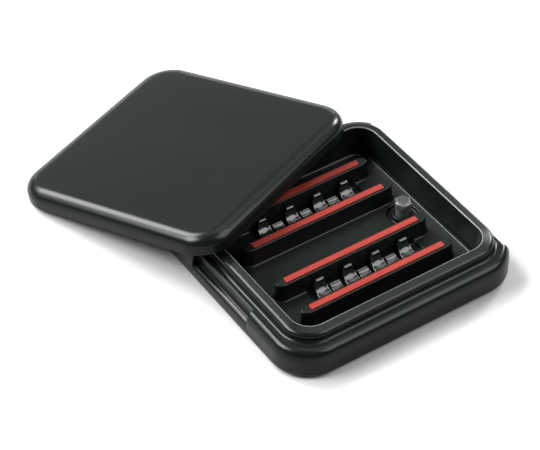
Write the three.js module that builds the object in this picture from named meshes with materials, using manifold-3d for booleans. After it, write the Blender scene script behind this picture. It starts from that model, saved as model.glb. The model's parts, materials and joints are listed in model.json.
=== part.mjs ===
// Precision driver case: a low, nearly square moulded case, open, with its loose lid leaning on it.
// Units are millimetres, +Z is up, and the origin is the middle of the face that the case stands on.
// X runs along the four grip strips, and the hexagon post stands at the +X end.
import * as THREE from 'three';
import { mergeVertices } from 'three/addons/utils/BufferGeometryUtils.js';
import Module from 'manifold-3d';

const wasm = await Module();
wasm.setup();

// ---- driving dimensions ----
const GAP = 0.3; // clearance between separate pieces
const OPENING = { x: 41.4, y: 39.9, corner: 8 }; // half sizes of the rim's inner edge, and its corner
const CORNER_GROWTH = 0.78; // how fast a corner's radius grows as an outline moves outwards
const RIM_TOP = 16.6;
const RIM = { round: 1.75, middle: 2.3, low: 14.45, slope: 11 }; // slope: the top's fall, in degrees
const RIM_WALL = RIM.middle + RIM.round;
const SHOULDER_TOP = 12.4;
const SHOULDER_EDGE = 6.9;
const WALL_OUT = 9.6; // outer wall's distance outside the rim's inner edge
const SHOULDER_ROUND = WALL_OUT - SHOULDER_EDGE;
const SHOULDER_FALL = 4.4; // its rounding is taller than it is wide
const GROOVE_ROUND = 1.2;
const FOOT_ROUND = 2.6;
const WALL_DRAFT = 0.9; // how far the inner wall leans in at its foot
const HOLLOW = { in: 1.6, out: 5.2, high: 14.6, low: 10.8, step: 2.9 }; // space inside the rim moulding
const CORNER_SEGMENTS = 6;

const PLATE_TOP = 1.4;
const PLATE_EDGE = 5.7;
const PLATE_LAND = 6;
const SHELL_FOOT = PLATE_TOP + GAP;
const SCREW = { head: 2, shank: 1, length: 7, boss: 2.2, pilot: 1.3, out: 3.4 };

const RECESS = { floor: 7, depth: 30 };
const FINGER_RECESS_HALF = 18; // on the -X side, under the lid's edge
const OPEN_SIDE = { wall: 4, near: 31.5, far: 36, solidFrom: 36 }; // on +X, its ends in degrees

const TRAY_BOTTOM = SHELL_FOOT;
const TRAY_FLOOR = 3.8;
const POCKET_FLOOR = 2.5;
const RIDGE_Y = [27.06, 10.78, -10.78, -27.06];
const RIDGE = { straight: 29.8, tip: 3.6, top: 11.1, halfTop: 2.2, halfFoot: 2.8 };
const STRIP = { half: 29.5, wide: 2.6, low: 10.6, high: 11.5 };

const TROUGH_Y = { back: 18.92, front: -18.92 };
const TROUGH = { low: -22, high: 26.5, half: 5.1, corner: 2 };
const CLIP_X = [-17, -4.55, 7.9, 20.35];
const SADDLE_X = [-11.2, 1.25, 13.7];
const CLIP = { inner: 3.9, outer: 4.9, wide: 5.8, foot: 2 };
const SADDLE = { wide: 4.6, top: 4.6 };
const CRADLE_BOTTOM = POCKET_FLOOR + GAP;
const CRADLE_Z = CRADLE_BOTTOM + CLIP.outer;

const POST = { x: 31.4, head: 4.3, crown: 3.1, top: 11.4, chamfer: 0.8, headLow: 8.8, shank: 2.8 };
const POST_WELL = 6;
const COLLAR = { inner: 3.1, outer: 4.2, top: 4.6 };

const LID = { x: 46.9, y: 48.4, corner: 13.4, high: 7.6, round: 3, wall: 1.5, plate: 1.6 };
const LID_CROWN = { share: 0.45, rise: 0.35 }; // the flat middle of its gently domed top
const LID_POSE = { yaw: 21.16, tilt: 11.95, x: -24.3, y: 64.5 }; // degrees, and the middle of its lower face
const LINER = { thick: 2.2, inset: 3.2 }; // inset from the lid's outline

// ---- materials ----
function plastic(color, roughness, metalness = 0) {
  return new THREE.MeshStandardMaterial({ color, roughness, metalness });
}
const GLOSS_BLACK = plastic(0x171a19, 0.18);
const TRAY_BLACK = plastic(0x1b1e1d, 0.35);
const GRIP_RED = plastic(0xb9443c, 0.6);
const POST_DARK = plastic(0x2b2c2b, 0.3, 0.6);
const LINER_GREY = plastic(0x2a2b2b, 0.9);
const SCREW_STEEL = plastic(0x8a8c8c, 0.35, 0.9);

// ---- geometry helpers ----
const point = (x, y, z) => new THREE.Vector3(x, y, z);

function geometryOf(points, triangles) {
  const geometry = new THREE.BufferGeometry().setFromPoints(points);
  geometry.setIndex(triangles.flat());
  return geometry;
}

// A rounded rectangle at height z, anticlockwise seen from above.
function roundedRing(halfX, halfY, radius, z) {
  const ring = [];
  const corners = [[1, 1], [-1, 1], [-1, -1], [1, -1]];
  corners.forEach(([sx, sy], quarter) => {
    for (let k = 0; k <= CORNER_SEGMENTS; k += 1) {
      const turn = (quarter + k / CORNER_SEGMENTS) * Math.PI * 0.5;
      const x = sx * (halfX - radius) + radius * Math.cos(turn);
      const y = sy * (halfY - radius) + radius * Math.sin(turn);
      ring.push(point(x, y, z));
    }
  });
  return ring;
}

// Joins equal rings into a closed body: capped at both ends, or run back to the first ring.
function loft(rings, capped = true) {
  const count = rings[0].length;
  const points = rings.flat();
  const triangles = [];
  const spans = capped ? rings.length - 1 : rings.length;
  for (let i = 0; i < spans; i += 1) {
    const low = i * count;
    const high = ((i + 1) % rings.length) * count;
    for (let k = 0; k < count; k += 1) {
      const next = (k + 1) % count;
      triangles.push([low + k, low + next, high + next], [low + k, high + next, high + k]);
    }
  }
  if (capped) {
    const centre = (ring) => ring.reduce((sum, p) => sum.add(p), point(0, 0, 0)).divideScalar(count);
    const last = (rings.length - 1) * count;
    points.push(centre(rings[0]), centre(rings[rings.length - 1]));
    for (let k = 0; k < count; k += 1) {
      const next = (k + 1) % count;
      triangles.push([points.length - 2, next, k], [points.length - 1, last + k, last + next]);
    }
  }
  return geometryOf(points, triangles);
}

// Points on an arc in a (distance, height) profile, angles in degrees.
function arc(distance, height, radius, from, to, steps, tall = radius) {
  const points = [];
  for (let k = 0; k <= steps; k += 1) {
    const angle = THREE.MathUtils.degToRad(from + ((to - from) * k) / steps);
    points.push([distance + radius * Math.cos(angle), height + tall * Math.sin(angle)]);
  }
  return points;
}

function outlineAt(distance, z) {
  const radius = OPENING.corner + CORNER_GROWTH * distance;
  return roundedRing(OPENING.x + distance, OPENING.y + distance, radius, z);
}

function block(low, high) {
  const size = high.map((value, axis) => value - low[axis]);
  const geometry = new THREE.BoxGeometry(...size);
  return geometry.translate(...low.map((value, axis) => value + size[axis] / 2));
}

// A round solid about a vertical axis at (x, y); profile points are [radius, height], lowest first.
function turned(profile, x, y, segments = 20) {
  const outline = profile.map(([radius, height]) => new THREE.Vector2(radius, height));
  const geometry = new THREE.LatheGeometry(outline, segments).rotateX(Math.PI / 2);
  return geometry.translate(x, y, 0);
}

function rod(radius, low, high, x, y, segments = 20) {
  return turned([[0, low], [radius, low], [radius, high], [0, high]], x, y, segments);
}

// A flat outline in the YZ plane, drawn about (0, 0) and run along X with its middle at x.
function runAlongX(shape, length, x, y, z, curveSegments = 8) {
  const geometry = new THREE.ExtrudeGeometry(shape, { depth: length, bevelEnabled: false, curveSegments });
  const turn = new THREE.Matrix4().makeBasis(point(0, 1, 0), point(0, 0, 1), point(1, 0, 0));
  return geometry.applyMatrix4(turn).translate(x - length / 2, y, z);
}

// ---- booleans ----
function solid(geometry) {
  const bare = new THREE.BufferGeometry().setAttribute('position', geometry.getAttribute('position'));
  bare.setIndex(geometry.getIndex());
  const merged = mergeVertices(bare, 1e-4);
  const vertProperties = new Float32Array(merged.attributes.position.array);
  const triVerts = new Uint32Array(merged.index.array);
  return new wasm.Manifold(new wasm.Mesh({ numProp: 3, vertProperties, triVerts }));
}

function geometryFrom(manifold) {
  const mesh = manifold.getMesh();
  const geometry = new THREE.BufferGeometry();
  geometry.setAttribute('position', new THREE.BufferAttribute(new Float32Array(mesh.vertProperties), 3));
  geometry.setIndex(new THREE.BufferAttribute(new Uint32Array(mesh.triVerts), 1));
  return geometry;
}

const join = (first, ...rest) => rest.reduce((sum, piece) => sum.add(solid(piece)), first);
const cut = (first, ...rest) => rest.reduce((left, piece) => left.subtract(solid(piece)), first);

// ---- base ----
const SCREW_PLACES = [[1, 1], [-1, 1], [-1, -1], [1, -1]].map(([sx, sy]) => {
  const reach = (OPENING.corner + CORNER_GROWTH * SCREW.out) * Math.SQRT1_2;
  const corner = OPENING.corner - SCREW.out * (1 - CORNER_GROWTH);
  return [sx * (OPENING.x - corner + reach), sy * (OPENING.y - corner + reach)];
});

// The stepped rim: out over the foot, up the wall, over shoulder, groove and rim, down the inner wall.
function shellProfile() {
  const edge = 0.35;
  return [
    ...arc(WALL_OUT - FOOT_ROUND, FOOT_ROUND, FOOT_ROUND, -90, 0, 3),
    ...arc(SHOULDER_EDGE, SHOULDER_TOP - SHOULDER_FALL, SHOULDER_ROUND, 0, 90, 4, SHOULDER_FALL),
    ...arc(RIM_WALL + GROOVE_ROUND, SHOULDER_TOP + GROOVE_ROUND, GROOVE_ROUND, -90, -180, 3),
    ...arc(RIM.middle, RIM.low, RIM.round, 0, 90 - RIM.slope, 4),
    [edge, RIM_TOP],
    [0, RIM_TOP - edge],
    [-WALL_DRAFT, SHELL_FOOT],
    [HOLLOW.in, SHELL_FOOT],
    [HOLLOW.in, HOLLOW.high],
    [HOLLOW.step, HOLLOW.high],
    [HOLLOW.step, HOLLOW.low],
    [HOLLOW.out, HOLLOW.low],
    [HOLLOW.out, SHELL_FOOT],
    [PLATE_LAND, SHELL_FOOT],
    [PLATE_LAND, 0],
  ];
}

function fingerRecess() {
  const inner = OPENING.x + SHOULDER_EDGE;
  const outer = OPENING.x + RECESS.depth;
  const half = FINGER_RECESS_HALF;
  return block([-outer, -half, RECESS.floor], [-inner, half, RIM_TOP + 5]);
}

// The +X side has no shoulder: it is cut back to the rim between two lines through its corners.
function openSideRecess() {
  const endLine = (degrees, side) => {
    const turn = THREE.MathUtils.degToRad(degrees);
    const rise = OPENING.corner * (1 - Math.cos(turn));
    const wall = (OPEN_SIDE.wall + rise) / (1 - CORNER_GROWTH * (1 - Math.cos(turn)));
    return [wall, RECESS.depth].map((distance) => {
      const radius = OPENING.corner + CORNER_GROWTH * distance;
      const x = OPENING.x + distance - radius + radius * Math.cos(turn);
      const y = OPENING.y + distance - radius + radius * Math.sin(turn);
      return new THREE.Vector2(x, side * y);
    });
  };
  const plan = [...endLine(OPEN_SIDE.near, -1), ...endLine(OPEN_SIDE.far, 1).reverse()];
  const height = { depth: RIM_TOP, bevelEnabled: false };
  return new THREE.ExtrudeGeometry(new THREE.Shape(plan), height).translate(0, 0, RECESS.floor);
}

// Fills the rim's hollow on the +X side, where the recess would open it.
function openSideFill() {
  const overlap = 0.3;
  const inner = HOLLOW.in - overlap;
  const outer = HOLLOW.out + overlap;
  const top = [[HOLLOW.step + 0.3, HOLLOW.high + 0.2], [inner, HOLLOW.high + 0.2]];
  const profile = [[outer, SHELL_FOOT], [outer, HOLLOW.low + 0.2], ...top, [inner, SHELL_FOOT]];
  const ring = solid(loft(profile.map(([distance, z]) => outlineAt(distance, z)), false));
  const reach = OPENING.x + RECESS.depth;
  return ring.intersect(solid(block([OPEN_SIDE.solidFrom, -reach, 0], [reach, reach, RIM_TOP])));
}

function baseShell() {
  const rim = solid(loft(shellProfile().map(([distance, z]) => outlineAt(distance, z)), false));
  const bosses = SCREW_PLACES.map(([x, y]) => rod(SCREW.boss, SHELL_FOOT, HOLLOW.low + 1, x, y));
  const pilots = SCREW_PLACES.map(([x, y]) => rod(SCREW.pilot, 0, SCREW.length + GAP, x, y, 12));
  const whole = join(rim.add(openSideFill()), ...bosses);
  return geometryFrom(cut(whole, ...pilots, fingerRecess(), openSideRecess()));
}

function bottomPlate() {
  const sheet = solid(loft([outlineAt(PLATE_EDGE, 0), outlineAt(PLATE_EDGE, PLATE_TOP)]));
  const mouth = SCREW.head + GAP;
  const sink = [[0, -1], [mouth, -1], [mouth, 0.1], [SCREW.pilot, 1], [SCREW.pilot, 3], [0, 3]];
  return geometryFrom(cut(sheet, ...SCREW_PLACES.map(([x, y]) => turned(sink, x, y))));
}

// A countersunk screw, driven up from below.
function bottomScrew([x, y]) {
  const shank = [[SCREW.shank, 1], [SCREW.shank, SCREW.length]];
  const outline = [[0, 0.1], [SCREW.head, 0.1], ...shank, [0, SCREW.length]];
  return turned(outline, x, y, 12);
}

// ---- tray ----
// A ridge's plan: two straight sides that close in a rounded taper at each end.
function ridgeRing(halfWide, reach, y, z) {
  const steps = 6;
  const ring = [];
  for (const end of [1, -1]) {
    for (let k = 0; k <= steps; k += 1) {
      const turn = (k / steps - 0.5) * Math.PI;
      const along = RIDGE.straight + reach * Math.cos(turn);
      ring.push(point(end * along, y + end * halfWide * Math.sin(turn), z));
    }
  }
  return ring;
}

function ridge(y) {
  const shoulder = RIDGE.top - 0.4;
  return loft([
    ridgeRing(RIDGE.halfFoot, RIDGE.tip + 0.6, y, TRAY_FLOOR - 1),
    ridgeRing(RIDGE.halfTop, RIDGE.tip, y, shoulder),
    ridgeRing(RIDGE.halfTop - 0.4, RIDGE.tip - 0.4, y, RIDGE.top),
  ]);
}

function stripBlock(y, grow, low) {
  const length = STRIP.half + grow;
  const wide = STRIP.wide / 2 + grow;
  return block([-length, y - wide, low], [length, y + wide, STRIP.high]);
}

function troughCutter(y) {
  const halfLength = (TROUGH.high - TROUGH.low) / 2;
  const middle = (TROUGH.high + TROUGH.low) / 2;
  const ring = (z) => roundedRing(halfLength, TROUGH.half, TROUGH.corner, z);
  return loft([ring(POCKET_FLOOR), ring(TRAY_FLOOR + 3)]).translate(middle, y, 0);
}

function trayInsert() {
  const edge = -WALL_DRAFT - GAP;
  const slab = solid(loft([outlineAt(edge, TRAY_BOTTOM), outlineAt(edge, TRAY_FLOOR)]));
  const hollowed = cut(
    slab,
    troughCutter(TROUGH_Y.back),
    troughCutter(TROUGH_Y.front),
    rod(POST_WELL, POCKET_FLOOR, TRAY_FLOOR + 3, POST.x, 0, 28),
  );
  const collar = rod(COLLAR.outer, POCKET_FLOOR - 0.4, COLLAR.top, POST.x, 0, 24);
  const raised = join(hollowed, collar, ...RIDGE_Y.map(ridge));
  const slots = RIDGE_Y.map((y) => stripBlock(y, GAP, STRIP.low - GAP));
  const bore = rod(COLLAR.inner, POCKET_FLOOR, COLLAR.top + 1, POST.x, 0, 24);
  return geometryFrom(cut(raised, bore, ...slots));
}

// ---- cradles ----
// A snap clip: a half ring that opens upwards, round at its two tips, on a flat foot.
function clip(x, y) {
  const middle = (CLIP.inner + CLIP.outer) / 2;
  const tip = (CLIP.outer - CLIP.inner) / 2;
  const shape = new THREE.Shape();
  shape.moveTo(-CLIP.outer, 0);
  shape.absarc(0, 0, CLIP.outer, Math.PI, 2 * Math.PI, false);
  shape.absarc(middle, 0, tip, 0, Math.PI, false);
  shape.absarc(0, 0, CLIP.inner, 2 * Math.PI, Math.PI, true);
  shape.absarc(-middle, 0, tip, 0, Math.PI, false);
  const hoop = solid(runAlongX(shape, CLIP.wide, x, y, CRADLE_Z));
  const half = CLIP.wide / 2;
  const footTop = CRADLE_Z - CLIP.inner - 0.2;
  const foot = block([x - half, y - CLIP.foot, CRADLE_BOTTOM], [x + half, y + CLIP.foot, footTop]);
  return geometryFrom(join(hoop, foot));
}

// A low saddle between two clips: a block with the same hollow in its top.
function saddle(x, y) {
  const top = SADDLE.top - CRADLE_Z;
  const angle = Math.asin(top / CLIP.inner);
  const out = Math.sqrt(CLIP.outer ** 2 - top ** 2);
  const low = CRADLE_BOTTOM - CRADLE_Z;
  const shape = new THREE.Shape();
  shape.moveTo(-out, top);
  shape.lineTo(-out, low);
  shape.lineTo(out, low);
  shape.lineTo(out, top);
  shape.absarc(0, 0, CLIP.inner, angle, -Math.PI - angle, true);
  return runAlongX(shape, SADDLE.wide, x, y, CRADLE_Z, 10);
}

// ---- hexagon post ----
function hexPost() {
  const shank = solid(rod(POST.shank, POCKET_FLOOR + GAP, POST.headLow + 0.5, POST.x, 0, 24));
  const crown = POST.top - POST.chamfer;
  const side = [[POST.head, POST.headLow], [POST.head, crown], [POST.crown, POST.top]];
  const head = turned([[0, POST.headLow], ...side, [0, POST.top]], POST.x, 0, 6);
  return geometryFrom(join(shank, head));
}

// ---- lid, in its own frame: lower face at z 0 ----
function lidRing(inset, z) {
  return roundedRing(LID.x - inset, LID.y - inset, LID.corner - inset, z);
}

function lidShell() {
  const ceiling = LID.high - LID.plate;
  const inner = LID.round - LID.wall;
  const inside = [
    lidRing(LID.round + 1, ceiling),
    ...arc(-LID.round, ceiling - inner, inner, 90, 0, 3).map(([inset, z]) => lidRing(-inset, z)),
    lidRing(LID.wall, 0),
  ];
  const outside = arc(-LID.round, LID.high - LID.round, LID.round, 0, 90, 4);
  const [halfX, halfY, corner] = [LID.x, LID.y, LID.corner].map((size) => size * LID_CROWN.share);
  const top = roundedRing(halfX, halfY, corner, LID.high + LID_CROWN.rise);
  return loft([...inside, lidRing(0, 0), ...outside.map(([inset, z]) => lidRing(-inset, z)), top]);
}

function lidLiner() {
  const high = LID.high - LID.plate - GAP;
  return loft([lidRing(LINER.inset, high - LINER.thick), lidRing(LINER.inset, high)]);
}

// ---- assembly ----
const driverCase = new THREE.Group();

function add(parent, name, geometry, material) {
  const mesh = new THREE.Mesh(geometry, material);
  mesh.name = name;
  parent.add(mesh);
}

add(driverCase, 'base_shell', baseShell(), GLOSS_BLACK);
add(driverCase, 'bottom_plate', bottomPlate(), GLOSS_BLACK);
SCREW_PLACES.forEach((place, i) => {
  add(driverCase, `bottom_screw_${i + 1}`, bottomScrew(place), SCREW_STEEL);
});
add(driverCase, 'tray_insert', trayInsert(), TRAY_BLACK);
RIDGE_Y.forEach((y, i) => add(driverCase, `grip_strip_${i + 1}`, stripBlock(y, 0, STRIP.low), GRIP_RED));
for (const [row, y] of Object.entries(TROUGH_Y)) {
  CLIP_X.forEach((x, i) => add(driverCase, `bit_clip_${row}_${i + 1}`, clip(x, y), TRAY_BLACK));
  SADDLE_X.forEach((x, i) => add(driverCase, `bit_saddle_${row}_${i + 1}`, saddle(x, y), TRAY_BLACK));
}
add(driverCase, 'hex_post', hexPost(), POST_DARK);

// The lid lies with its far lower edge on the table and its near side up over the case.
const lidTilt = new THREE.Group();
const lidYaw = new THREE.Group();
lidTilt.rotation.x = -THREE.MathUtils.degToRad(LID_POSE.tilt);
lidYaw.rotation.z = THREE.MathUtils.degToRad(LID_POSE.yaw);
lidYaw.position.set(LID_POSE.x, LID_POSE.y, LID.y * Math.sin(THREE.MathUtils.degToRad(LID_POSE.tilt)));
lidYaw.add(lidTilt);
driverCase.add(lidYaw);
add(lidTilt, 'lid_shell', lidShell(), GLOSS_BLACK);
add(lidTilt, 'lid_liner', lidLiner(), LINER_GREY);

export default driverCase;
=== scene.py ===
"""The looks of an open, empty driver case: a stepped glossy base, a tray with gripped ridges and
snap cradles, a hexagon post and a loose domed lid. Built in millimetres, placed in metres."""

import json
import math

import bmesh
import bpy
from mathutils import Matrix, Vector
from mathutils.geometry import tessellate_polygon


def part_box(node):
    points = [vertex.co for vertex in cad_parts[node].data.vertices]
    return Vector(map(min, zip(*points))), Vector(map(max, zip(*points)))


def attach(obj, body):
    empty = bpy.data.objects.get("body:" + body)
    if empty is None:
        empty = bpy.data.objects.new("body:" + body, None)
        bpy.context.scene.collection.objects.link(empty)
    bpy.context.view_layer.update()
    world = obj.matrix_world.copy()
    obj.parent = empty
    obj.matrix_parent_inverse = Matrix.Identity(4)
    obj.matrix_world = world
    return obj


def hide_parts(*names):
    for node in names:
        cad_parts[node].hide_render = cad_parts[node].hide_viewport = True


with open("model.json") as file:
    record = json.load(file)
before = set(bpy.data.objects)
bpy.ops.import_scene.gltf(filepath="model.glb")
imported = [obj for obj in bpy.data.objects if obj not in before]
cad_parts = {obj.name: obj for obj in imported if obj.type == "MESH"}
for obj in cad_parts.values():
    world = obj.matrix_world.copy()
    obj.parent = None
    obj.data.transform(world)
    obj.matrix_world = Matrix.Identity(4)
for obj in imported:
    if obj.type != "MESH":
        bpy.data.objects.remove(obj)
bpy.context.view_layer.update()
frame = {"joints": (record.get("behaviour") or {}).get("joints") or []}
MM = 0.001
GAP = 0.3


def box_mm(node):
    """Lowest and highest corner of a CAD node, in millimetres."""
    low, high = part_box(node)
    return low / MM, high / MM


# ---- camera, floor and lights ----
CAMERA_PLACE = Vector((-0.32609, -0.45055, 0.53842))
CAMERA_FORWARD = Vector((0.40098, 0.60752, -0.68567))
CAMERA_RIGHT = Vector((0.83221, -0.55445, -0.00458))
CAMERA_LENS = 138.24
MIDDLE = Vector((0.0, 0.02, 0.012))


def add_camera():
    camera = bpy.data.objects.new("camera", bpy.data.cameras.new("camera"))
    camera.data.lens = CAMERA_LENS
    camera.data.sensor_width = 36
    back = -CAMERA_FORWARD.normalized()
    up = back.cross(CAMERA_RIGHT).normalized()
    camera.matrix_world = Matrix((up.cross(back), up, back)).transposed().to_4x4()
    camera.location = CAMERA_PLACE
    bpy.context.scene.collection.objects.link(camera)
    bpy.context.scene.camera = camera


def softbox(name, azimuth, elevation, distance, size, power):
    """A rectangular light facing the object. Azimuth 0 is +X and 90 is +Y, in degrees."""
    light = bpy.data.lights.new(name, "AREA")
    light.shape = "RECTANGLE"
    light.size, light.size_y = size
    light.energy = power
    lamp = bpy.data.objects.new(name, light)
    turn, lift = math.radians(azimuth), math.radians(elevation)
    flat = math.cos(lift)
    direction = Vector((flat * math.cos(turn), flat * math.sin(turn), math.sin(lift)))
    lamp.location = MIDDLE + direction * distance
    lamp.rotation_euler = (-direction).to_track_quat("-Z", "Y").to_euler()
    bpy.context.scene.collection.objects.link(lamp)


def add_lights():
    softbox("left_softbox", 114, 45, 1.0, (0.42, 0.56), 19)
    softbox("far_left_softbox", 158, 46, 1.0, (0.46, 0.46), 19)
    softbox("left_fill", 132, 40, 1.3, (1.1, 0.8), 8)
    softbox("right_softbox", -48, 47, 1.1, (0.84, 0.85), 15)
    softbox("side_softbox", 20, 29, 1.1, (0.2, 0.28), 11)
    softbox("top_softbox", 30, 68, 1.2, (0.6, 0.6), 3)
    softbox("back_softbox", 62, 38, 1.4, (1.3, 0.8), 1.8)
    softbox("horizon_softbox", 64, 9, 1.4, (1.4, 0.2), 4.0)
    world = bpy.data.worlds.new("studio")
    world.use_nodes = True
    background = world.node_tree.nodes["Background"]
    background.inputs["Color"].default_value = (0.9, 0.95, 1.0, 1)
    background.inputs["Strength"].default_value = 0.08
    bpy.context.scene.world = world
    bpy.context.scene.view_settings.view_transform = "Standard"


# ---- mesh code ----
class Skin:
    """Gathers points and faces in millimetres; points at the same place become one."""

    def __init__(self):
        self.points = []
        self.faces = []

    def add(self, points):
        start = len(self.points)
        self.points.extend(Vector(p) for p in points)
        return list(range(start, len(self.points)))

    def face(self, points):
        self.faces.append(self.add(points))

    def rows(self, rows, close_along=False, close_across=False):
        """Quads between equal rows of points; either direction can run back to its start."""
        numbers = [self.add(row) for row in rows]
        if close_across:
            numbers.append(numbers[0])
        count = len(numbers[0])
        spans = count if close_along else count - 1
        for low, high in zip(numbers, numbers[1:]):
            for k in range(spans):
                n = (k + 1) % count
                self.faces.append([low[k], low[n], high[n], high[k]])

    def tube(self, rings):
        """Rings joined into a closed body, with a face over each end."""
        self.rows(rings, close_along=True)
        self.face(rings[0][::-1])
        self.face(rings[-1])

    def sheet(self, edge, holes=()):
        """A flat sheet inside an edge and outside its holes."""
        loops = [[Vector(p) for p in loop] for loop in (edge, *holes)]
        numbers = [n for loop in loops for n in self.add(loop)]
        for triangle in tessellate_polygon(loops):
            self.faces.append([numbers[k] for k in triangle])

    def piece(self, name, material, place=Matrix.Identity(4), sharp=38):
        mesh = bpy.data.meshes.new(name)
        mesh.from_pydata([p * MM for p in self.points], [], self.faces)
        bm = bmesh.new()
        bm.from_mesh(mesh)
        bmesh.ops.remove_doubles(bm, verts=bm.verts, dist=0.002 * MM)
        bmesh.ops.dissolve_degenerate(bm, edges=bm.edges, dist=0.001 * MM)
        bmesh.ops.recalc_face_normals(bm, faces=bm.faces)
        limit = math.radians(sharp)
        for face in bm.faces:
            face.smooth = True
        for edge in bm.edges:
            edge.smooth = len(edge.link_faces) == 2 and edge.calc_face_angle() < limit
        bm.to_mesh(mesh)
        bm.free()
        mesh.transform(place)
        mesh.materials.append(material)
        made = bpy.data.objects.new(name, mesh)
        bpy.context.scene.collection.objects.link(made)
        return made


def arc(distance, height, radius, start, end, steps, tall=None):
    """Points on an arc in a (distance, height) profile, angles in degrees; tall makes it an oval."""
    rise = tall or radius
    angles = [math.radians(start + (end - start) * k / steps) for k in range(steps + 1)]
    return [(distance + radius * math.cos(a), height + rise * math.sin(a)) for a in angles]


def line(start, end, steps):
    """Points on a straight line, its end left out."""
    shares = [k / steps for k in range(steps)]
    return [tuple(a + (b - a) * s for a, b in zip(start, end)) for s in shares]


def circle(x, y, radius, z, segments=32):
    turns = [2 * math.pi * k / segments for k in range(segments)]
    return [(x + radius * math.cos(t), y + radius * math.sin(t), z) for t in turns]


def turned(skin, profile, x, y, segments=48):
    """A surface turned about a vertical axis; profile points are (radius, height)."""
    skin.rows([circle(x, y, radius, z, segments) for radius, z in profile], close_along=True)


def rounded_rectangle(half_x, half_y, radius, steps):
    """Points round a rectangle about the middle, anticlockwise from +X."""
    points = []
    for turn, (sx, sy) in enumerate(((1, 1), (-1, 1), (-1, -1), (1, -1))):
        for k in range(steps + 1):
            a = (turn + k / steps) * math.pi / 2
            x = sx * (half_x - radius) + radius * math.cos(a)
            y = sy * (half_y - radius) + radius * math.sin(a)
            points.append((x, y))
    return points


# ---- the case's outline ----
OPENING = {"x": 41.4, "y": 39.9, "corner": 8}
CORNER_GROWTH = 0.78
CORNER_STEPS = 18
FINGER_RECESS_HALF = 18
RECESS_STEP = 0.12
OPEN_SIDE = {"wall": 4.0, "near": 31.5, "far": 36.0, "end": 0.5, "steps": 16}
WALL_OUT = 9.6


def radius_at(distance):
    return OPENING["corner"] + CORNER_GROWTH * distance


def corner_point(distance, sx, sy, angle):
    radius = radius_at(distance)
    x = OPENING["x"] + distance - radius + radius * math.cos(angle)
    y = OPENING["y"] + distance - radius + radius * math.sin(angle)
    return sx * x, sy * y


def wall_distance(angle):
    """How far out the plane of the open side's wall is, along one corner angle."""
    turn = math.cos(angle)
    share = 1 - CORNER_GROWTH * (1 - turn)
    return (OPEN_SIDE["wall"] + OPENING["corner"] * (1 - turn)) / share


def left_quarter(distance, sy):
    """Stations from the Y side round a -X corner to the finger recess; each has its cut."""
    turns = [math.pi / 2 * (1 - k / CORNER_STEPS) for k in range(CORNER_STEPS + 1)]
    x = -(OPENING["x"] + distance)
    plain = [(corner_point(distance, -1, sy, turn), None) for turn in turns]
    plain.append(((x, sy * (FINGER_RECESS_HALF + RECESS_STEP)), None))
    return plain + [((x, sy * (FINGER_RECESS_HALF - RECESS_STEP)), "finger")]


def right_quarter(distance, sy):
    """Stations from the Y side round a +X corner, whose shoulder is cut away from an angle on."""
    end = OPEN_SIDE["near" if sy < 0 else "far"]
    start, stop = math.radians(end), math.radians(end + OPEN_SIDE["end"])
    turns = [math.pi / 2 + (stop - math.pi / 2) * k / CORNER_STEPS for k in range(CORNER_STEPS + 1)]
    plain = [(corner_point(distance, 1, sy, turn), None) for turn in turns]
    turns = [start * (1 - k / OPEN_SIDE["steps"]) for k in range(OPEN_SIDE["steps"] + 1)]
    cut = [(corner_point(distance, 1, sy, turn), wall_distance(turn)) for turn in turns]
    return plain + cut


def stations(distance):
    """All stations of an outline, anticlockwise from the back of the -X side."""
    back_left, near_left = left_quarter(distance, 1), left_quarter(distance, -1)
    near_right, back_right = right_quarter(distance, -1), right_quarter(distance, 1)
    return back_left + near_left[::-1] + near_right + back_right[::-1]


def outline(distance, z):
    return [(x, y, z) for (x, y), _ in stations(distance)]


# ---- base shell ----
RIM_TOP = 16.6
RIM = {"middle": 2.3, "round": 1.75, "low": 14.45, "slope": 11}
RIM_WALL = RIM["middle"] + RIM["round"]
SHOULDER_TOP = 12.4
SHOULDER_EDGE = 6.9
SHOULDER_ROUND = WALL_OUT - SHOULDER_EDGE
SHOULDER_FALL = 4.4
GROOVE_ROUND = 1.2
FOOT_ROUND = 2.6
SHELL_FOOT = 1.7
WALL_DRAFT = 0.9
EDGE_ROUND = 0.35
# The band along the rim's inner edge that gets a lighter colour, a painted highlight where the sharp
# edge catches the light.
LIP_HIGHLIGHT_BAND = {"wide": 0.34, "deep": 0.3}
RECESS_FLOOR = 7.0
LEDGE_ROUND = 2.3
OPEN_LEDGE = {"round": 1.2, "pit": 5.9}
BEAD = {"at": 6.42, "radius": 0.36}
HOLLOW = {"in": 1.6, "out": 5.2, "high": 14.6, "low": 10.8, "step": 2.9}
WALL_EDGE = 0.22
INNER_WALL = {"start": -0.06, "down": 1.2}
PLATE_LAND = 6.0
PLATE_EDGE = 5.7
PLATE_ROUND = 0.25
SCREW = {"bore": 1.3, "boss": 2.2, "head": 2.0, "core": 1.0, "thread": 0.12, "pitch": 0.35}
SCREW_Z = {"low": 0.12, "neck": 1.05, "first_turn": 1.1, "tip": 6.9}
SCREW_TIP = 0.7
SCREW_TURNS = 16
CROSS = {"half": 0.22, "arm": 1.1, "deep": 0.8}
SINK = {"wide": 2.35, "round": 0.05, "low": 0.1, "high": 1.0}


def foot_profile():
    return [(PLATE_LAND, 0.0), *arc(WALL_OUT - FOOT_ROUND, FOOT_ROUND, FOOT_ROUND, -90, 0, 10)]


def plain_side():
    """Up the outer wall, round the shoulder and in along it: 32 points."""
    low = SHOULDER_TOP - SHOULDER_FALL
    wall = line((WALL_OUT, FOOT_ROUND + 0.3), (WALL_OUT, low), 8)
    shoulder = arc(SHOULDER_EDGE, low, SHOULDER_ROUND, 0, 90, 15, SHOULDER_FALL)
    groove_start = RIM_WALL + GROOVE_ROUND + 0.05
    flat = line((SHOULDER_EDGE - 0.1, SHOULDER_TOP), (groove_start, SHOULDER_TOP), 8)
    return wall + shoulder + flat


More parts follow.
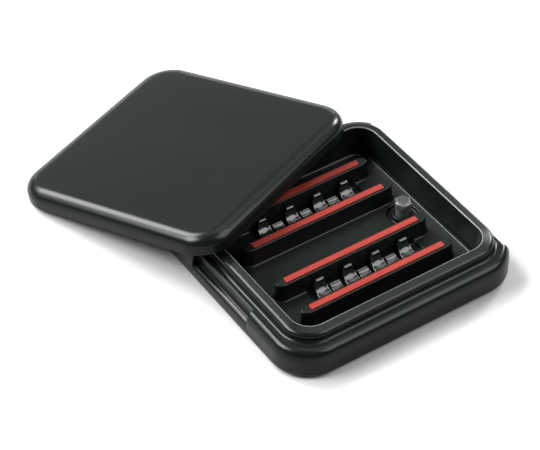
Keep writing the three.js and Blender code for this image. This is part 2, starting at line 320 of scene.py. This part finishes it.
def finger_side():
    """The stretch where the shoulder is cut away for a finger: 32 points."""
    ledge = arc(WALL_OUT - LEDGE_ROUND, RECESS_FLOOR - LEDGE_ROUND, LEDGE_ROUND, 4, 88, 10)
    fillet = arc(SHOULDER_EDGE + 0.4, RECESS_FLOOR + 0.4, 0.4, 270, 182, 4)
    wall = line((SHOULDER_EDGE, RECESS_FLOOR + 1.4), (SHOULDER_EDGE, SHOULDER_TOP - 0.5), 4)
    edge = arc(SHOULDER_EDGE - WALL_EDGE, SHOULDER_TOP - WALL_EDGE, WALL_EDGE, 0, 90, 4)
    bead = arc(BEAD["at"], SHOULDER_TOP - 0.1, BEAD["radius"], 17, 163, 6)
    return ledge + fillet + wall + edge + bead


def open_side(cut):
    """The stretch cut back to a plane, with a lip outside it and what is left of the shoulder:
    32 points."""
    lip_round, pit = OPEN_LEDGE["round"], OPEN_LEDGE["pit"]
    edge = min(WALL_EDGE, max(cut - RIM_WALL, 0) / 2)
    lip = arc(WALL_OUT - lip_round, RECESS_FLOOR - lip_round, lip_round, 4, 150, 10)
    floor_start = min(cut + 0.3, WALL_OUT - 2 * lip_round)
    floor = line((WALL_OUT - 2 * lip_round, pit), (floor_start, pit), 4)
    wall = line((cut, pit + 0.3), (cut, SHOULDER_TOP - 0.5), 5)
    top = arc(cut - edge, SHOULDER_TOP - edge, edge, 0, 90, 4)
    flat = line((cut - edge, SHOULDER_TOP), (RIM_WALL + groove_round(cut), SHOULDER_TOP), 7)
    return lip + floor + wall + top + flat


def groove_round(cut):
    """The groove's rounding where the wall is cut back: it gives way to what is left."""
    return max(0.0, min(GROOVE_ROUND, cut - RIM_WALL - WALL_EDGE))


def rim_profile(groove):
    """Over the groove and the rim, whose top falls outwards, and down the inner wall."""
    top = 90 - RIM["slope"]
    start = arc(RIM["middle"], RIM["low"], RIM["round"], top, top, 1)[0]
    wall_top = (INNER_WALL["start"], RIM_TOP - INNER_WALL["down"])
    return [
        *arc(RIM_WALL + groove, SHOULDER_TOP + groove, groove, -90, -180, 10),
        *arc(RIM["middle"], RIM["low"], RIM["round"], 0, top, 16),
        *line(start, (EDGE_ROUND, RIM_TOP), 6)[1:],
        *arc(EDGE_ROUND, RIM_TOP - EDGE_ROUND, EDGE_ROUND, 90, 180, 5),
        *line(wall_top, (-WALL_DRAFT, SHELL_FOOT), 6),
        (-WALL_DRAFT, SHELL_FOOT),
    ]


def hollow_profile(cut):
    """The space inside the rim; where the wall is cut back the rim is solid."""
    if isinstance(cut, float):
        return [(1.0 + 0.5 * k, SHELL_FOOT) for k in range(6)] + [(PLATE_LAND, SHELL_FOOT)]
    return [
        (HOLLOW["in"], SHELL_FOOT),
        (HOLLOW["in"], HOLLOW["high"]),
        (HOLLOW["step"], HOLLOW["high"]),
        (HOLLOW["step"], HOLLOW["low"]),
        (HOLLOW["out"], HOLLOW["low"]),
        (HOLLOW["out"], SHELL_FOOT),
        (PLATE_LAND, SHELL_FOOT),
    ]


def shell_profile(cut):
    """The whole section at one station: no cut, the finger recess, or a wall cut back to a plane."""
    side, groove = plain_side(), GROOVE_ROUND
    if cut == "finger":
        side = finger_side()
    elif cut is not None:
        side, groove = open_side(cut), groove_round(cut)
    return foot_profile() + side + rim_profile(groove) + hollow_profile(cut)


def opening_distance(x, y):
    """How far a place lies outside the rim's inner edge."""
    corner = OPENING["corner"]
    across = max(abs(x) - OPENING["x"] + corner, 0)
    along = max(abs(y) - OPENING["y"] + corner, 0)
    return math.hypot(across, along) - corner


def paint_lip_highlight(piece, material):
    """Paints a highlight on the rim's inner edge: a lighter colour where the sharp edge catches the
    light.
    """
    piece.data.materials.append(material)
    for polygon in piece.data.polygons:
        x, y, z = polygon.center / MM
        inside = -0.02 < opening_distance(x, y) < LIP_HIGHLIGHT_BAND["wide"]
        if inside and z > RIM_TOP - LIP_HIGHLIGHT_BAND["deep"]:
            polygon.material_index = 1


def base_shell(material, lip_highlight_material):
    """The rim moulding, with a hollow post for each screw under it."""
    columns = []
    for number, (_, cut) in enumerate(stations(0)):
        columns.append([(*stations(d)[number][0], z) for d, z in shell_profile(cut)])
    skin = Skin()
    skin.rows(columns, close_along=True, close_across=True)
    bore, boss, high = SCREW["bore"], SCREW["boss"], HOLLOW["low"]
    profile = [(bore, SHELL_FOOT), (boss, SHELL_FOOT), (boss, high), (bore, high), (bore, SHELL_FOOT)]
    for x, y in screw_places():
        turned(skin, profile, x, y, 32)
    piece = skin.piece("base_moulding", material)
    paint_lip_highlight(piece, lip_highlight_material)
    return piece


# ---- bottom ----
def screw_places():
    """The middles of the four screws, from the frame."""
    found = [box_mm(f"bottom_screw_{k}") for k in range(1, 5)]
    return [((low.x + high.x) / 2, (low.y + high.y) / 2) for low, high in found]


def bottom_plate(material):
    """The sheet that closes the foot, with four countersunk holes."""
    top = box_mm("bottom_plate")[1].z
    low, high = outline(PLATE_EDGE - PLATE_ROUND, 0), outline(PLATE_EDGE, top)
    skin = Skin()
    skin.rows([low, outline(PLATE_EDGE, PLATE_ROUND), high], close_along=True)
    wide, bore = SINK["wide"], SCREW["bore"]
    sink = [(wide, 0.0), (wide - SINK["round"], SINK["low"]), (bore, SINK["high"]), (bore, top)]
    places = screw_places()
    for x, y in places:
        turned(skin, sink, x, y, 32)
    skin.sheet(low, [circle(x, y, wide, 0)[::-1] for x, y in places])
    skin.sheet(high, [circle(x, y, bore, top)[::-1] for x, y in places])
    return skin.piece("bottom_plate_skin", material)


def cross_recess(x, y, z):
    """The outline of a cross, three points for each arm."""
    half, arm = CROSS["half"], CROSS["arm"]
    points = []
    for k in range(4):
        c, s = math.cos(k * math.pi / 2), math.sin(k * math.pi / 2)
        for u, v in ((arm, -half), (arm, half), (half, half)):
            points.append((x + u * c - v * s, y + u * s + v * c, z))
    return points


def bottom_screw(number, place, material):
    """A countersunk screw with a cross recess, seen from below."""
    x, y = place
    head, core, low = SCREW["head"], SCREW["core"], SCREW_Z["low"]
    cross, deep = cross_recess(x, y, low), cross_recess(x, y, low + CROSS["deep"])
    skin = Skin()
    skin.sheet(circle(x, y, head - 0.1, low), [cross[::-1]])
    skin.rows([cross, deep], close_along=True)
    skin.face(deep)
    body = [(head - 0.1, low), (head, low + 0.1), (core, SCREW_Z["neck"])]
    for k in range(SCREW_TURNS):
        body.append((core + SCREW["thread"] * (k % 2), SCREW_Z["first_turn"] + SCREW["pitch"] * k))
    body.append((SCREW_TIP, SCREW_Z["tip"]))
    turned(skin, body, x, y, 32)
    skin.face(circle(x, y, *body[-1]))
    return skin.piece(f"bottom_screw_skin_{number}", material)


# ---- tray ----
TRAY_FLOOR = 3.8
POCKET_FLOOR = 2.5
WALL_FILLET = 1.1
RIDGE_STRAIGHT = 29.8
RIDGE = {"top": 11.1, "half_top": 2.2, "half_foot": 2.8, "reach": 1.4, "lip": 0.35, "foot": 0.8}
SLOT = {"half": 1.6, "low": 10.3}
TROUGH = {"low": -22.0, "high": 26.5, "half": 5.2, "corner": 2.0, "soft": 0.55}
TROUGH_FINE = {"step": 0.14, "start": -0.7, "count": 26}
BETWEEN_ENDS = (-14, -8, -2, 4, 10, 16, 20)
TIP_STEPS = 20
LAND_STEPS = 16


def ridge_side(foot):
    """Half a ridge's section from its top edge down to the floor: (offset, height) points."""
    half, top, lip, fillet = RIDGE["half_top"], RIDGE["top"], RIDGE["lip"], RIDGE["foot"]
    slope = (RIDGE["half_foot"] - half) / (top - TRAY_FLOOR)
    low = half + slope * (top - foot - fillet)
    side = line((half, top - lip), (low, foot + fillet), 5)[1:]
    bend = arc(low + fillet, foot + fillet, fillet, 180, 270, 7)
    return arc(half - lip, top - lip, lip, 90, 0, 6) + side + bend


def slot_side():
    """Half the slot that the strip lies in, from its middle out to the ridge's top."""
    half, top = SLOT["half"], RIDGE["top"]
    return [(0, SLOT["low"]), (half, SLOT["low"]), (half, top - 0.08), (half + 0.08, top)]


def smooth(share):
    share = max(0.0, min(1.0, share))
    return share * share * (3 - 2 * share)


def land_height(x, offset):
    """Height between two ridges, at a distance from the trough's middle line."""
    middle = (TROUGH["low"] + TROUGH["high"]) / 2
    corner = TROUGH["corner"]
    qx = abs(x - middle) - ((TROUGH["high"] - TROUGH["low"]) / 2 - corner)
    qy = abs(offset) - (TROUGH["half"] - corner)
    outside = math.hypot(max(qx, 0), max(qy, 0)) + min(max(qx, qy), 0) - corner
    depth = smooth(0.5 - outside / (2 * TROUGH["soft"]))
    return TRAY_FLOOR - (TRAY_FLOOR - POCKET_FLOOR) * depth


def land_stations():
    """Places along the ridges, close together where the trough's ends are."""
    fine = [TROUGH_FINE["start"] + TROUGH_FINE["step"] * k for k in range(TROUGH_FINE["count"])]
    low = [TROUGH["low"] + f for f in fine]
    high = [TROUGH["high"] - f for f in fine[::-1]]
    return [-RIDGE_STRAIGHT, -26, *low, *BETWEEN_ENDS, *high, 28.4, RIDGE_STRAIGHT]


def across_ridge(y, before, after):
    """A ridge's section, with each side given from its top down."""
    slot = slot_side()
    first = [(y - offset, z) for offset, z in before[::-1] + slot[::-1]]
    return first + [(y + offset, z) for offset, z in slot[1:] + after]


def ridge_section(x, low_y, high_y):
    """A section across two ridges and the trough between them."""
    middle = (low_y + high_y) / 2
    outer = ridge_side(TRAY_FLOOR)
    inner = ridge_side(land_height(x, middle - low_y - RIDGE["half_foot"] - RIDGE["foot"]))
    start, end = low_y + inner[-1][0], high_y - inner[-1][0]
    places = [start + (end - start) * k / LAND_STEPS for k in range(1, LAND_STEPS)]
    land = [(y, land_height(x, y - middle)) for y in places]
    row = across_ridge(low_y, outer, inner) + land + across_ridge(high_y, inner, outer)
    return [(x, y, z) for y, z in row]


def ridge_pair(skin, low_y, high_y):
    """Two ridges with the trough between them; returns the outline that they leave in the floor."""
    outer = ridge_side(TRAY_FLOOR)
    reach = outer[-1][0]
    xs = land_stations()
    rows = [ridge_section(x, low_y, high_y) for x in xs]
    skin.rows(rows)
    for y in (low_y, high_y):
        for end in (-1, 1):
            ridge_tip(skin, y, end, outer)
    left = tip_ring(high_y, -1, reach, TRAY_FLOOR)[::-1]
    left += [p for p in rows[0] if low_y + reach < p[1] < high_y - reach][::-1]
    left += tip_ring(low_y, -1, reach, TRAY_FLOOR)[::-1]
    right = tip_ring(low_y, 1, reach, TRAY_FLOOR)
    right += [p for p in rows[-1] if low_y + reach < p[1] < high_y - reach]
    right += tip_ring(high_y, 1, reach, TRAY_FLOOR)
    back = [(x, high_y + reach, TRAY_FLOOR) for x in xs[1:-1]][::-1]
    front = [(x, low_y - reach, TRAY_FLOOR) for x in xs[1:-1]]
    return back + left + front + right


def tip_ring(y, end, offset, z):
    """A ridge's end at one offset from its middle line, from its -Y side to its +Y side."""
    turns = [math.pi * (k / TIP_STEPS - 0.5) for k in range(TIP_STEPS + 1)]
    reach = offset + RIDGE["reach"]
    return [
        (end * (RIDGE_STRAIGHT + reach * math.cos(t)), y + offset * math.sin(t), z) for t in turns
    ]


def ridge_tip(skin, y, end, side):
    rings = [tip_ring(y, end, offset, z) for offset, z in side]
    skin.rows(rings)
    x = end * RIDGE_STRAIGHT
    slot = [(x, y + o, z) for o, z in slot_side()[::-1]]
    slot += [(x, y - o, z) for o, z in slot_side()[1:]]
    skin.face(slot)
    skin.face([*rings[0], slot[0], slot[-1]])


POST_WELL = 6.0
COLLAR = {"inner": 3.1, "outer": 4.2, "top": 4.6}


def post_middle():
    low, high = box_mm("hex_post")
    return (low.x + high.x) / 2, (low.y + high.y) / 2


def post_well(skin):
    """The round well and the collar that holds the post; returns the hole's outline."""
    x, y = post_middle()
    edge, bend = 0.45, 0.5
    outer, inner, top = COLLAR["outer"], COLLAR["inner"], COLLAR["top"]
    profile = [
        *arc(POST_WELL + edge, TRAY_FLOOR - edge, edge, 90, 180, 6),
        *arc(POST_WELL - bend, POCKET_FLOOR + bend, bend, 0, -90, 6),
        *arc(outer + 0.4, POCKET_FLOOR + 0.4, 0.4, 270, 180, 6),
        *arc(outer - 0.3, top - 0.3, 0.3, 0, 90, 6),
        *arc(inner + 0.25, top - 0.25, 0.25, 90, 180, 5),
        (inner, POCKET_FLOOR + 0.1),
    ]
    turned(skin, profile, x, y, 64)
    skin.face(circle(x, y, inner, POCKET_FLOOR + 0.1, 64))
    return circle(x, y, profile[0][0], TRAY_FLOOR, 64)[::-1]


def tray_insert(material):
    ridges = sorted(strip_middle(k) for k in range(1, 5))
    skin = Skin()
    holes = [ridge_pair(skin, *ridges[:2]), ridge_pair(skin, *ridges[2:]), post_well(skin)]
    edge = -WALL_DRAFT - GAP
    lip = TRAY_FLOOR + WALL_FILLET
    bend = arc(edge - WALL_FILLET, lip, WALL_FILLET, -90, 0, 8)
    wall = [*bend, (edge + 0.15, lip), (edge, SHELL_FOOT)]
    skin.rows([outline(d, z) for d, z in wall], close_along=True)
    skin.sheet(outline(bend[0][0], TRAY_FLOOR), holes)
    skin.face(outline(edge, SHELL_FOOT))
    return skin.piece("tray_moulding", material)


# ---- strips ----
STRIP = {"corner": 0.3, "rise": 0.22}


def strip_middle(number):
    low, high = box_mm(f"grip_strip_{number}")
    return (low.y + high.y) / 2


def grip_strip(number, material):
    """A soft strip with rounded edges and gently rounded ends."""
    low, high = box_mm(f"grip_strip_{number}")
    middle, half = (low + high) / 2, (high - low) / 2
    rise = STRIP["rise"]

    def ring(inset, z):
        points = rounded_rectangle(half.x - inset, half.y - inset, STRIP["corner"], 4)
        return [(middle.x + x, middle.y + y, z) for x, y in points]

    crown = [(rise - x, z) for x, z in arc(0, high.z - rise, rise, 0, 90, 4)]
    skin = Skin()
    skin.tube([ring(0, low.z), *(ring(inset, z) for inset, z in crown)])
    return skin.piece(f"grip_strip_skin_{number}", material)


# ---- cradles ----
CLIP = {"inner": 3.9, "outer": 4.9, "tip": 0.72, "edge": 0.26, "foot": 2.0, "waist": 0.58, "dish": 0.3}
CLIP_OPENING = 12
CLIP_STEPS = 56
CLIP_CAPS = ((0.35, 0.42), (0.75, 0.26))  # a tip's closing sections: how small, how far up
CLIP_DISH_PLACES = (-0.7, -0.35, 0, 0.35, 0.7)
CLIP_FOOT = {"inset": 0.3, "edge": 0.15, "down": 0.35}
SADDLE_BEAD = 0.55
SADDLE_EDGE = 0.2
SADDLE_STEPS = 24


def clip_ring(share, half, shrink):
    """One section of the hoop, across its width; share runs from tip to tip."""
    turn = math.radians(180 - CLIP_OPENING / 2 + (180 + CLIP_OPENING) * share)
    near_tip = max(0.0, 1 - 7 * min(share, 1 - share))
    wide = half * (CLIP["waist"] + (1 - CLIP["waist"]) * math.sin(math.pi * share) ** 0.8)
    middle, thick = (CLIP["inner"] + CLIP["outer"]) / 2, (CLIP["outer"] - CLIP["inner"]) / 2
    thick = (thick + (CLIP["tip"] - thick) * smooth(near_tip)) * shrink
    wide -= CLIP["edge"] * (1 - shrink)
    dish = CLIP["dish"] * (1 - near_tip) * shrink
    section = rounded_rectangle(wide, thick, min(CLIP["edge"], thick * 0.7), 4)
    section[15:15] = [(x * wide, dish * (1 - x * x) - thick) for x in CLIP_DISH_PLACES]
    reaches = [(x, middle + radial) for x, radial in section]
    return [(x, reach * math.cos(turn), reach * math.sin(turn)) for x, reach in reaches]


def clip_cap(share, half):
    """The sections that close a tip, the smallest first."""
    cap = [(clip_ring(share, half, shrink), lift) for shrink, lift in CLIP_CAPS]
    return [[(x, y, z + lift) for x, y, z in ring] for ring, lift in cap]


def clip(row, number, material):
    """A snap clip: a hoop open at the top, widest at its foot, with a rounded bead at each tip."""
    low, high = box_mm(f"bit_clip_{row}_{number}")
    x, y = (low.x + high.x) / 2, (low.y + high.y) / 2
    z = low.z + CLIP["outer"]
    half = (high.x - low.x) / 2
    hoop = [clip_ring(k / CLIP_STEPS, half, 1) for k in range(CLIP_STEPS + 1)]
    rings = [*clip_cap(0, half), *hoop, *clip_cap(1, half)[::-1]]
    foot_top = -CLIP["inner"] - CLIP_FOOT["down"]

    def foot(shrink):
        wide, foot_low = CLIP["foot"] - shrink, -CLIP["outer"]
        return [(-wide, foot_low), (wide, foot_low), (wide, foot_top), (-wide, foot_top)]

    skin = Skin()
    skin.tube([[(x + u, y + v, z + w) for u, v, w in ring] for ring in rings])
    inset = CLIP_FOOT["inset"]
    run_along(skin, foot, low.x + inset, high.x - inset, CLIP_FOOT["edge"], y, z)
    return skin.piece(f"bit_clip_skin_{row}_{number}", material)


def run_along(skin, section, low, high, edge, y, z):
    """Runs a section along X with rounded ends, where it shrinks."""
    first = [(low + edge - u, edge - v) for u, v in arc(0, 0, edge, 0, 90, 4)]
    last = [(low + high - x, shrink) for x, shrink in first[::-1]]
    skin.tube([[(x, y + u, z + v) for u, v in section(shrink)] for x, shrink in first + last])


def saddle_section(top, out, base):
    """A low block with a round hollow and a bead on each side of it."""
    reach, high = out - SADDLE_BEAD, top - SADDLE_BEAD
    turn = math.degrees(math.asin((top - 0.1) / CLIP["inner"]))

    def section(shrink):
        bead, side = SADDLE_BEAD - shrink, out - shrink
        hollow = arc(0, 0, CLIP["inner"] + shrink, turn, -180 - turn, SADDLE_STEPS)
        left, right = arc(-reach, high, bead, 20, 180, 10), arc(reach, high, bead, 0, 160, 10)
        return [(-side, base), (side, base), *right, *hollow, *left]

    return section


def saddle(row, number, material):
    low, high = box_mm(f"bit_saddle_{row}_{number}")
    y = (low.y + high.y) / 2
    z = low.z + CLIP["outer"]
    section = saddle_section(high.z - z, (high.y - low.y) / 2, low.z - z)
    skin = Skin()
    run_along(skin, section, low.x, high.x, SADDLE_EDGE, y, z)
    return skin.piece(f"bit_saddle_skin_{row}_{number}", material)


# ---- hexagon post ----
POST = {"shank": 2.8, "head_low": 8.8, "chamfer": 0.75, "round": 0.3, "under": 0.3, "foot": 0.25}
CROWN = {"rings": 7, "inset": 1.5, "soften": 0.6}


def hexagon(radius, z, x, y, soft):
    """A hexagon with rounded corners, its first corner on +X."""
    reach = radius - soft / math.cos(math.pi / 6)
    points = []
    for k, (cx, cy, _) in enumerate(circle(x, y, reach, z, 6)):
        points += [(u, v, z) for u, v in arc(cx, cy, soft, 60 * k - 30, 60 * k + 30, 4)]
    return points


def hex_post(material):
    """A hexagon head with a domed top on a round shank."""
    low, high = box_mm("hex_post")
    x, y = post_middle()
    radius = (high.x - low.x) / 2
    soft, head_low, shank = POST["round"], POST["head_low"], POST["shank"]
    crown = high.z - POST["chamfer"]
    sizes = [(shank - 0.1, head_low), (radius - POST["under"], head_low)]
    sizes += [(radius, head_low + POST["under"]), (radius, crown - 0.1)]
    rings = [hexagon(size, z, x, y, soft) for size, z in sizes]
    for k in range(1, CROWN["rings"] + 1):
        share = k / CROWN["rings"]
        rise = POST["chamfer"] * math.sin(share * math.pi / 2)
        size = radius - CROWN["inset"] * share
        rings.append(hexagon(size, crown + rise, x, y, soft + CROWN["soften"] * share))
    skin = Skin()
    skin.tube(rings)
    foot = POST["foot"]
    stem = [(shank - foot, low.z), (shank, low.z + foot), (shank, head_low + 0.2)]
    skin.tube([circle(x, y, size, z, 48) for size, z in stem])
    return skin.piece("hex_post_skin", material)


# ---- lid ----
LID = {"x": 46.9, "y": 48.4, "corner": 13.4, "high": 7.6, "wall": 1.5, "plate": 1.6}
LID_EDGE = {"out": 5.6, "down": 4.4, "inner": 1.4, "steps": 18}
LID_FOOT = {"inner": 0.15, "outer": 0.2}
LID_DOME = {"slope": 0.9, "meets": 1.2, "rings": 15}
LID_TILT = 11.95
LINER = {"thick": 2.2, "inset": 3.2, "soft": 0.3}


def lid_place():
    """The lid's own frame in the row frame: its hinge edge lies along its far lower side."""
    joint = next(j for j in frame["joints"] if j["name"] == "lid_tip")
    across = -Vector(joint["axis"]).normalized()
    level = Vector((0, 0, 1)).cross(across)
    tilt = math.radians(LID_TILT)
    along = level * math.cos(tilt) - Vector((0, 0, 1)) * math.sin(tilt)
    up = across.cross(along)
    middle = Vector(joint["pos_m"]) - along * LID["y"] * MM
    place = Matrix((across, along, up)).transposed().to_4x4()
    place.translation = middle
    return place


def lid_ring(inset, z):
    """A rounded rectangle drawn in from the lid's outline; deep insets keep a round corner."""
    half_x, half_y = LID["x"] - inset, LID["y"] - inset
    radius = max(LID["corner"] - inset, LID["corner"] * (half_x / LID["x"]) * 0.75)
    return [(x, y, z) for x, y in rounded_rectangle(half_x, half_y, radius, 22)]


def lid_dome(start):
    """The faintly domed top from its edge's height inwards: (inset, height) points."""
    reach = LID["x"] - LID_EDGE["out"]
    fall = math.tan(math.radians(LID_DOME["slope"])) * reach
    shares = [k / LID_DOME["rings"] for k in range(1, LID_DOME["rings"])]
    return [(LID_EDGE["out"] + reach * s, start + fall * (s - s * s / 2)) for s in shares]


def lid_shell(material, place):
    """A shallow cup with a soft rounded edge and a faintly domed top."""
    ceiling, wall, inner = LID["high"] - LID["plate"], LID["wall"], LID_EDGE["inner"]
    out, down = LID_EDGE["out"], LID_EDGE["down"]
    top = 90 - LID_DOME["slope"] * LID_DOME["meets"]
    bend = [(wall + inner - x, z) for x, z in arc(0, ceiling - inner, inner, 0, 90, 6)][::-1]
    edge = [(out - x, z) for x, z in arc(0, LID["high"] - down, out, 0, top, LID_EDGE["steps"], down)]
    section = [(out + 1, ceiling), *bend, (wall, LID_FOOT["inner"]), (wall - LID_FOOT["inner"], 0)]
    section += [(LID_FOOT["outer"], 0), (0, LID_FOOT["outer"]), *edge, *lid_dome(edge[-1][1])]
    skin = Skin()
    skin.tube([lid_ring(inset, z) for inset, z in section])
    return skin.piece("lid_moulding", material, place)


def lid_liner(material, place):
    """The foam sheet under the lid's ceiling, its lower edge rounded."""
    high = LID["high"] - LID["plate"] - GAP
    low = high - LINER["thick"]
    soft, inset = LINER["soft"], LINER["inset"]
    section = [(inset + soft, low), (inset + 0.08, low + 0.1), (inset, low + soft), (inset, high)]
    skin = Skin()
    skin.tube([lid_ring(inset, z) for inset, z in section])
    return skin.piece("lid_liner_foam", material, place)


# ---- materials ----
def noise(tree, place, scale, detail):
    made = tree.nodes.new("ShaderNodeTexNoise")
    made.inputs["Scale"].default_value = scale
    made.inputs["Detail"].default_value = detail
    tree.links.new(place.outputs["Object"], made.inputs["Vector"])
    return made.outputs["Fac"]


def spread(tree, value, low, high, start=0.3, end=0.7):
    """Maps a value from start..end to low..high."""
    made = tree.nodes.new("ShaderNodeMapRange")
    made.inputs["From Min"].default_value = start
    made.inputs["From Max"].default_value = end
    made.inputs["To Min"].default_value = low
    made.inputs["To Max"].default_value = high
    tree.links.new(value, made.inputs["Value"])
    return made.outputs["Result"]


def cloudy_tint(tree, place, dark, light):
    tint = tree.nodes.new("ShaderNodeMix")
    tint.data_type = "RGBA"
    tint.inputs["A"].default_value = (*dark, 1)
    tint.inputs["B"].default_value = (*light, 1)
    tree.links.new(spread(tree, noise(tree, place, 38, 3), 0, 1), tint.inputs["Factor"])
    return tint.outputs["Result"]


def painted_edge_highlights(tree, colour, light, edge_highlight):
    """Lightens a colour where the surface turns a sharp edge, a painted highlight for the light that
    sharp edges catch.
    """
    geometry = tree.nodes.new("ShaderNodeNewGeometry")
    edge = spread(tree, geometry.outputs["Pointiness"], 0, edge_highlight, 0.53, 0.62)
    highlit = tree.nodes.new("ShaderNodeMix")
    highlit.data_type = "RGBA"
    highlit.inputs["B"].default_value = (*(min(1, 4 * c + 0.02) for c in light), 1)
    tree.links.new(edge, highlit.inputs["Factor"])
    tree.links.new(colour, highlit.inputs["A"])
    return highlit.outputs["Result"]


def plastic(name, colours, rough, grain, ior=1.45, bump=0.02, metallic=0.0, edge_highlight=0.0):
    """A moulded finish: a faint cloudy tint, fine grain in roughness and bump, and a painted highlight
    on sharp edges.
    """
    material = bpy.data.materials.new(name)
    material.use_nodes = True
    tree = material.node_tree
    shader = tree.nodes["Principled BSDF"]
    shader.inputs["IOR"].default_value = ior
    shader.inputs["Metallic"].default_value = metallic
    place = tree.nodes.new("ShaderNodeTexCoord")
    colour = cloudy_tint(tree, place, *colours)
    roughness = spread(tree, noise(tree, place, grain * 0.4, 4), *rough)
    # Sharp edges get a lighter colour here, a painted highlight.
    if edge_highlight:
        colour = painted_edge_highlights(tree, colour, colours[1], edge_highlight)
    tree.links.new(colour, shader.inputs["Base Color"])
    tree.links.new(roughness, shader.inputs["Roughness"])
    relief = tree.nodes.new("ShaderNodeBump")
    relief.inputs["Strength"].default_value = bump
    relief.inputs["Distance"].default_value = 0.0002
    tree.links.new(noise(tree, place, grain, 5), relief.inputs["Height"])
    tree.links.new(relief.outputs["Normal"], shader.inputs["Normal"])
    return material


# Linear colours, the darkest and the lightest of each finish.
BLACK = ((0.0022, 0.0032, 0.0030), (0.0032, 0.0044, 0.0042))
SMOKE = ((0.006, 0.0075, 0.0072), (0.009, 0.011, 0.0106))
RED = ((0.128, 0.0128, 0.0092), (0.155, 0.0172, 0.0122))
DARK_GREY = ((0.016, 0.017, 0.016), (0.025, 0.026, 0.025))
# The light grey for the rim's inner edge is a painted highlight, standing in for the light its sharp
# edge catches.
LIP_HIGHLIGHT = ((0.05, 0.053, 0.053), (0.15, 0.156, 0.156))
FOAM = ((0.006, 0.0063, 0.0066), (0.011, 0.0115, 0.012))
ZINC = ((0.3, 0.31, 0.32), (0.4, 0.41, 0.42))
PALE = ((0.31, 0.31, 0.31), (0.33, 0.33, 0.33))


def make_materials():
    return {
        # Each finish's edge value paints a lighter colour on its sharp edges, a painted highlight.
        "case": plastic("gloss_case", BLACK, (0.23, 0.27), 2600, ior=1.26, bump=0.004, edge_highlight=0.04),
        # The lip finish is a painted highlight on the rim's inner edge.
        "lip": plastic("painted_lip_highlight", LIP_HIGHLIGHT, (0.25, 0.4), 1400, ior=1.3),
        "tray": plastic("satin_tray", BLACK, (0.26, 0.32), 2200, ior=1.24, bump=0.008, edge_highlight=0.06),
        "clip": plastic("clip_plastic", SMOKE, (0.14, 0.18), 2400, ior=1.5, bump=0.004, edge_highlight=0.1),
        "grip": plastic("red_grip", RED, (0.5, 0.62), 3000, ior=1.2, bump=0.25, edge_highlight=0.1),
        "post": plastic("dark_post", DARK_GREY, (0.26, 0.34), 1800, ior=1.5, bump=0.03, edge_highlight=0.4),
        "liner": plastic("foam_liner", FOAM, (0.85, 0.95), 1500, bump=0.9),
        "screw": plastic("zinc_screw", ZINC, (0.28, 0.4), 1900, bump=0.1, metallic=1.0),
    }


FLOOR_HALF = 4000


def add_floor():
    """A plain pale floor that reaches past the view."""
    material = plastic("pale_floor", PALE, (0.75, 0.85), 60, bump=0.01)
    skin = Skin()
    skin.rows([[(x, y, -0.05) for x in (-FLOOR_HALF, FLOOR_HALF)] for y in (-FLOOR_HALF, FLOOR_HALF)])
    floor = skin.piece("floor", material)


def stand_for(piece, body, slot, *nodes):
    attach(piece, body)
    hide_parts(*nodes)


def build():
    looks = make_materials()
    stand_for(base_shell(looks["case"], looks["lip"]), "case", "case", "base_shell")
    stand_for(bottom_plate(looks["case"]), "case", "case", "bottom_plate")
    for number, place in enumerate(screw_places(), 1):
        screw = bottom_screw(number, place, looks["screw"])
        stand_for(screw, "case", "screw", f"bottom_screw_{number}")
    stand_for(tray_insert(looks["tray"]), "case", "tray", "tray_insert")
    for number in range(1, 5):
        stand_for(grip_strip(number, looks["grip"]), "case", "grip", f"grip_strip_{number}")
    for row in ("back", "front"):
        for number in range(1, 5):
            piece = clip(row, number, looks["clip"])
            stand_for(piece, "case", "clip", f"bit_clip_{row}_{number}")
        for number in range(1, 4):
            piece = saddle(row, number, looks["clip"])
            stand_for(piece, "case", "clip", f"bit_saddle_{row}_{number}")
    stand_for(hex_post(looks["post"]), "post", "post", "hex_post")
    place = lid_place()
    stand_for(lid_shell(looks["case"], place), "lid", "case", "lid_shell")
    foam = lid_liner(looks["liner"], place)
    stand_for(foam, "lid", "liner", "lid_liner")


add_camera()
add_lights()
add_floor()
build()
